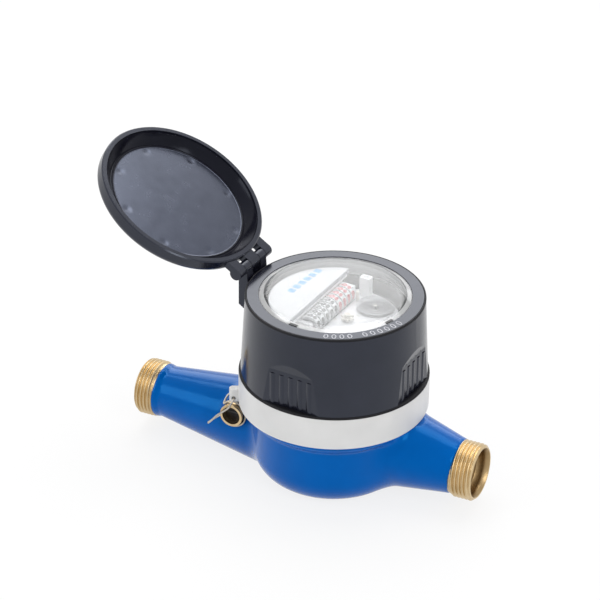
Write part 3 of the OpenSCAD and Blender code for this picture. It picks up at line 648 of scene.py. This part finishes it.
piece("panel_cover", half_moon(PANEL_R, PANEL_EDGE, PANEL_LOW, PANEL_TOP - PANEL_LOW), "meter", panel_white_painted_shade,
      smooth=False, turn=HEAD)
bars = [block(BAR_SIZE, (-21.0 + 0.28 * i, -2.6 + 4.3 * i, PANEL_TOP + BAR_SIZE[2] / 2))
        for i in range(BAR_COUNT)]
piece("panel_bars", joined(bars), "meter", bar_blue, smooth=False, turn=HEAD)
# grey band round the panel's edge: painted shade of its side and the gap below it
edge = [hoop(PANEL_R + 0.15, 0.2, 2.1, 86.1, 109, 251),
        block((0.2, 55.0, 2.1), (PANEL_EDGE + 0.12, 0, 87.15))]
piece("panel_edge", joined(edge), "meter", grey_mark_and_painted_shade, smooth=False, turn=HEAD)


# Lens: a milky shoulder that fills the window, a slightly raised clear top, and the white wall round it

SHOULDER = [(34.2, 84.0), (34.2, 90.6), (33.9, 91.1), (32.0, 91.9)]
DOME = [SHOULDER[-1], (31.0, 92.4), (30.2, 92.6), (15, 92.8), (0, 92.85)]
LINER = [(34.3, 82.9), (34.3, 90.9)]
crease(piece("lens_shoulder", lathe(SHOULDER), "meter", lens_milky, turn=HEAD), 30)
crease(piece("lens_dome", lathe(DOME), "meter", lens_clear, turn=HEAD), 30)
# the white wall takes the brightened dial white as painted light
piece("window_liner", lathe(LINER), "meter", dial_white_painted_light, turn=HEAD)


# Small marks: on the pillar, the clear disc and the rim; the black bar on the pillar and the black bands on
# the rim are painted shade of slots

PILLAR_AT = (1.5, 26.0, 87.82)
DISC_AT, DISC_TOP, DISC_RIM, DISC_STEP = (11.514, 16.597, 0), 80.0, 8.0, 0.58
FIGURE_R, FIGURE_TALL = 37.2, 3.5
SLOT_R, SLOT_TURNS = 33.4, ((-98, -91), (-20, -13))


def rim_text(text, first, last):
    """Plain figures set round the rim between two angles, read from the front."""
    made = []
    for i, sign in enumerate(text):
        a = math.radians(first + (last - first) * i / (len(text) - 1))
        flat = lettering(sign, FIGURE_TALL)
        flat.transform(Matrix.Rotation(a + math.pi / 2, 4, "Z"))
        flat.transform(Matrix.Translation((FIGURE_R * math.cos(a), FIGURE_R * math.sin(a), RIM_TOP + 0.01)))
        made.append(flat)
    return joined(made)


def disc_rings():
    rings = [hoop(r, 0.22, 0.06, DISC_TOP + (DISC_STEP if r > DISC_RIM else 0.0), steps=64)
             for r in (3.4, 5.2, 7.0, 8.4)]
    mesh = joined(rings)
    mesh.transform(Matrix.Translation(DISC_AT))
    return mesh


piece("pillar_slot_shade", block((2.6, 0.7, 0.1), PILLAR_AT, 0.5), "meter", black_print_and_painted_shade,
      smooth=False, turn=HEAD)
piece("disc_rings", disc_rings(), "pointer", grey_mark_and_painted_shade, smooth=False, turn=HEAD)
figures = joined([rim_text("0000", -67.5, -51.5), rim_text("000000", -41, -13)])
piece("rim_figures", figures, "meter", mark_pale, smooth=False, turn=HEAD)
slots = [hoop(SLOT_R, 1.4, 0.4, RIM_TOP - 0.1, first, last) for first, last in SLOT_TURNS]
piece("rim_slot_shade", joined(slots), "meter", black_print_and_painted_shade, smooth=False, turn=HEAD)


# Foot and top edge of the head ring in a darker black, as painted shade lines at its joint and bevel; down in
# the plug a dark disc and a black bar, as painted shade of its hollow and of the screw's slot

FOOT = [(39.6, 52.03), (43.15, 52.03), (43.15, 52.4), (42.3, 52.9), (39.6, 52.9)]
RIM_EDGE = [(40.0, 90.3), (40.52, 90.3), (40.44, 90.95), (40.15, 91.28), (39.7, 91.33), (39.7, 91.0)]
PLUG_AT = Vector((BOSS_X, -15.5, BOSS_Z))
PLUG_FACE = [(0, 0), (4.36, 0), (4.36, 0.4), (0, 0.4)]
piece("head_foot_shade", lathe(FOOT, closed=True), "meter", black_painted_shade)
piece("rim_edge_shade", lathe(RIM_EDGE, closed=True), "meter", black_painted_shade)
# a near-black disc down in the plug: painted shade of its hollow
face_at = Matrix.Translation(PLUG_AT + Vector((0, -1.0, 0))) @ Matrix.Rotation(math.radians(90), 4, "X")
piece("plug_shade_disc", lathe(PLUG_FACE, 48), "meter", brass_painted_shade, smooth=False, turn=face_at)
# a black bar across it: painted shade of the screw's slot
slot_shade_mark = block((7.4, 0.3, 0.9), PLUG_AT + Vector((0, -1.45, 0)))
piece("plug_slot_shade", slot_shade_mark, "meter", black_print_and_painted_shade, smooth=False)


# Seal wire: a round drawn wire along the solid's route

WIRE_R, WIRE_LOOP_R = 0.45, 6.3
WIRE_AT = Vector((BOSS_X, -18.7, BOSS_Z))
LUG_TURN, LUG_EYE_R, LUG_EYE_Z = math.radians(205), 45.45, 37.2
FIRST_END = ((-11.9, -1.5, -7.1), (-10.4, -1.2, -5.6), (-8.2, -0.5, -3.7))
THROUGH_EYE = ((4.7, 2.9, -2.6), (4.2, 0.5, -0.4), (2.7, 0, 0), (-2.6, 0, 0), (-3.6, 0.7, -1.2),
               (-3.5, 2.2, -4.2))
LAST_END = ((-3, -3.7, 2.5), (-6.6, -2.7, -1), (-9, -2.6, -4), (-11.2, -2.8, -6.4))


def by_eye(along, out, up):
    """A place given from the eye of the lug: along its hole, outwards and up."""
    c, s = math.cos(LUG_TURN), math.sin(LUG_TURN)
    r = LUG_EYE_R + out
    return Vector((r * c + along * s, r * s - along * c, LUG_EYE_Z + up))


def wire_route():
    """Stops of the wire: a free end, round the plug, through the lug's eye and back to the twist."""
    stops = [WIRE_AT + Vector(p) for p in FIRST_END]
    for a in range(200, 501, 25):
        t = math.radians(a)
        lean = (a - 200) / 400
        stops.append(WIRE_AT + Vector((WIRE_LOOP_R * math.cos(t), lean, WIRE_LOOP_R * math.sin(t))))
    stops += [by_eye(*p) for p in THROUGH_EYE]
    return stops + [WIRE_AT + Vector(p) for p in LAST_END]


def smooth_route(points, steps=8):
    """Catmull-Rom curve through the points."""
    out = []
    for i in range(len(points) - 1):
        a, b = points[max(i - 1, 0)], points[i]
        c, d = points[i + 1], points[min(i + 2, len(points) - 1)]
        for k in range(steps):
            t = k / steps
            square = (2 * a - 5 * b + 4 * c - d) * t * t
            cube = (3 * b - a - 3 * c + d) * t ** 3
            out.append(0.5 * (2 * b + (c - a) * t + square + cube))
    out.append(points[-1])
    return out


def tube(points, r, sides=12):
    """A round tube along the points, closed at both ends."""
    mesh = bmesh.new()
    rows = []
    up = Vector((0.3, 1, 0.2))
    for i, p in enumerate(points):
        t = (points[min(i + 1, len(points) - 1)] - points[max(i - 1, 0)]).normalized()
        u = t.cross(up).normalized()
        up = u.cross(t).normalized()
        rows.append([mesh.verts.new(p + r * (u * math.cos(a) + up * math.sin(a))) for a in full_turn(sides)])
    skin(mesh, rows)
    mesh.faces.new(rows[0])
    mesh.faces.new(rows[-1])
    bmesh.ops.recalc_face_normals(mesh, faces=mesh.faces)
    return mesh


wire = piece("drawn_wire", tube(smooth_route(wire_route()), WIRE_R), "meter", wire_steel)
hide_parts("seal_wire")


# Lid inside: drafted wall, bead and a floor with shallow round marks; the wall takes a darker, weakly
# reflecting copy of the black plastic as painted shade, the floor a strongly, bluish reflecting copy as
# painted sheen

HINGE_X, HINGE_Z, LID_DROP, LID_OPEN = 43.6, 95.3, 3.7, math.radians(149.4)
LID = (HEAD @ Matrix.Translation((-HINGE_X, 0, HINGE_Z)) @ Matrix.Rotation(-LID_OPEN, 4, "Y")
       @ Matrix.Translation((HINGE_X, 0, -LID_DROP)))
LID_WALL = [(37.5, 0.7), (37.35, 1.3), (34.0, 5.0), (33.5, 5.55), (33.1, 5.5), (32.8, 5.2), (32.45, 5.2),
            (32.2, 5.45)]
FLOOR_R, FLOOR_DEPTH, FLOOR_RISE = 32.0, 5.55, 0.5
MARK_COUNT, MARK_AT, MARK_R, MARK_DEEP = 8, 29.4, 2.6, 0.20


def lid_floor(r, a):
    """Height of the floor: a slight rise to the middle and round marks near its edge."""
    z = FLOOR_DEPTH - FLOOR_RISE * (1 - (r / FLOOR_R) ** 2)
    for k in range(MARK_COUNT):
        t = 2 * math.pi * (k + 0.5) / MARK_COUNT
        x, y = r * math.cos(a) - MARK_AT * math.cos(t), r * math.sin(a) - MARK_AT * math.sin(t)
        d = math.hypot(x, y) / MARK_R
        if d < 1:
            z += MARK_DEEP * (1 - d * d) ** 2
    return z


def lid_lining(around=240, rings=60):
    mesh = bmesh.new()
    turns = full_turn(around)
    rows = [[mesh.verts.new((r * math.cos(a), r * math.sin(a), z)) for a in turns] for r, z in LID_WALL]
    for i in range(rings, 0, -1):
        r = FLOOR_R * i / rings
        rows.append([mesh.verts.new((r * math.cos(a), r * math.sin(a), lid_floor(r, a))) for a in turns])
    skin(mesh, rows)
    mesh.faces.new(rows[-1])
    # wall faces take the painted-shade copy, floor faces the painted-sheen copy
    for i, face in enumerate(mesh.faces):
        face.material_index = 1 if i >= len(LID_WALL) * around else 0
        face.normal_update()
        if face.normal.z > 0:
            face.normal_flip()
    return mesh


crease(piece("lid_lining", lid_lining(), "cover", [lid_wall, lid_floor_painted_sheen], turn=LID), 40)


# Stage: pale floor, white surroundings, soft lamps

WHITE = (1, 1, 1, 1)
FLOOR_DROP = 0.0002
FLOOR_GLOW = 0.82


def lamp(name, place, target, size, power):
    data = bpy.data.lights.new(name, "AREA")
    data.shape = "RECTANGLE"
    data.size, data.size_y = size
    data.energy = power
    obj = bpy.data.objects.new(name, data)
    scene.collection.objects.link(obj)
    aim = (Vector(place) - Vector(target)).to_track_quat("Z", "Y").to_matrix().to_4x4()
    obj.matrix_world = Matrix.Translation(place) @ aim


def seen_rays(tree):
    """1 for what is seen directly, in a gloss or through clear plastic, and 0 for soft light."""
    path = tree.nodes.new("ShaderNodeLightPath")
    last = path.outputs["Is Camera Ray"]
    for name in ("Is Glossy Ray", "Is Transmission Ray"):
        top = tree.nodes.new("ShaderNodeMath")
        top.operation = "MAXIMUM"
        tree.links.new(last, top.inputs[0])
        tree.links.new(path.outputs[name], top.inputs[1])
        last = top.outputs[0]
    return last


def glow_of(tree, kind, strength):
    node = tree.nodes.new(kind)
    node.inputs["Color"].default_value = WHITE
    node.inputs["Strength"].default_value = strength
    return node


def make_world():
    """White where it is seen, and a softer white as light."""
    world = bpy.data.worlds.new("studio")
    scene.world = world
    world.use_nodes = True
    tree = world.node_tree
    tree.nodes.clear()
    out = tree.nodes.new("ShaderNodeOutputWorld")
    mix = mixed(tree, glow_of(tree, "ShaderNodeBackground", 0.55), glow_of(tree, "ShaderNodeBackground", 1.0))
    tree.links.new(seen_rays(tree), mix.inputs["Fac"])
    tree.links.new(mix.outputs[0], out.inputs["Surface"])


def floor_finish():
    """A pale cloth that fades into the white behind it."""
    mat = bpy.data.materials.new("floor")
    mat.use_nodes = True
    tree = mat.node_tree
    tree.nodes.clear()
    out = tree.nodes.new("ShaderNodeOutputMaterial")
    cloth = tree.nodes.new("ShaderNodeBsdfDiffuse")
    tree.links.new(ramp(tree, noise(tree, 3), (0.79, 0.79, 0.79), (0.81, 0.81, 0.81)), cloth.inputs["Color"])
    share = tree.nodes.new("ShaderNodeMath")
    share.operation = "MULTIPLY"
    share.inputs[1].default_value = FLOOR_GLOW
    tree.links.new(seen_rays(tree), share.inputs[0])
    mix = mixed(tree, cloth, glow_of(tree, "ShaderNodeEmission", 1.0))
    tree.links.new(share.outputs[0], mix.inputs["Fac"])
    tree.links.new(mix.outputs[0], out.inputs["Surface"])
    return mat


def make_floor():
    mesh = bmesh.new()
    bmesh.ops.create_grid(mesh, x_segments=2, y_segments=2, size=4.0)
    data = bpy.data.meshes.new("floor")
    mesh.to_mesh(data)
    mesh.free()
    data.materials.append(floor_finish())
    floor = bpy.data.objects.new("floor", data)
    scene.collection.objects.link(floor)
    floor.location.z = -FLOOR_DROP


lamp("top", (-0.15, 0.25, 0.9), (0, 0, 0.05), (0.9, 0.6), 5.5)
lamp("left", (-0.9, -0.7, 0.6), (0, 0, 0.06), (0.6, 0.6), 3.6)
lamp("right", (0.9, -0.5, 0.7), (0, 0, 0.06), (0.5, 0.6), 3.8)
lamp("back", (-0.42, 0.95, 0.66), (0, 0, 0.09), (1.1, 0.6), 4.6)
make_world()
make_floor()

scene.view_settings.view_transform = "Standard"
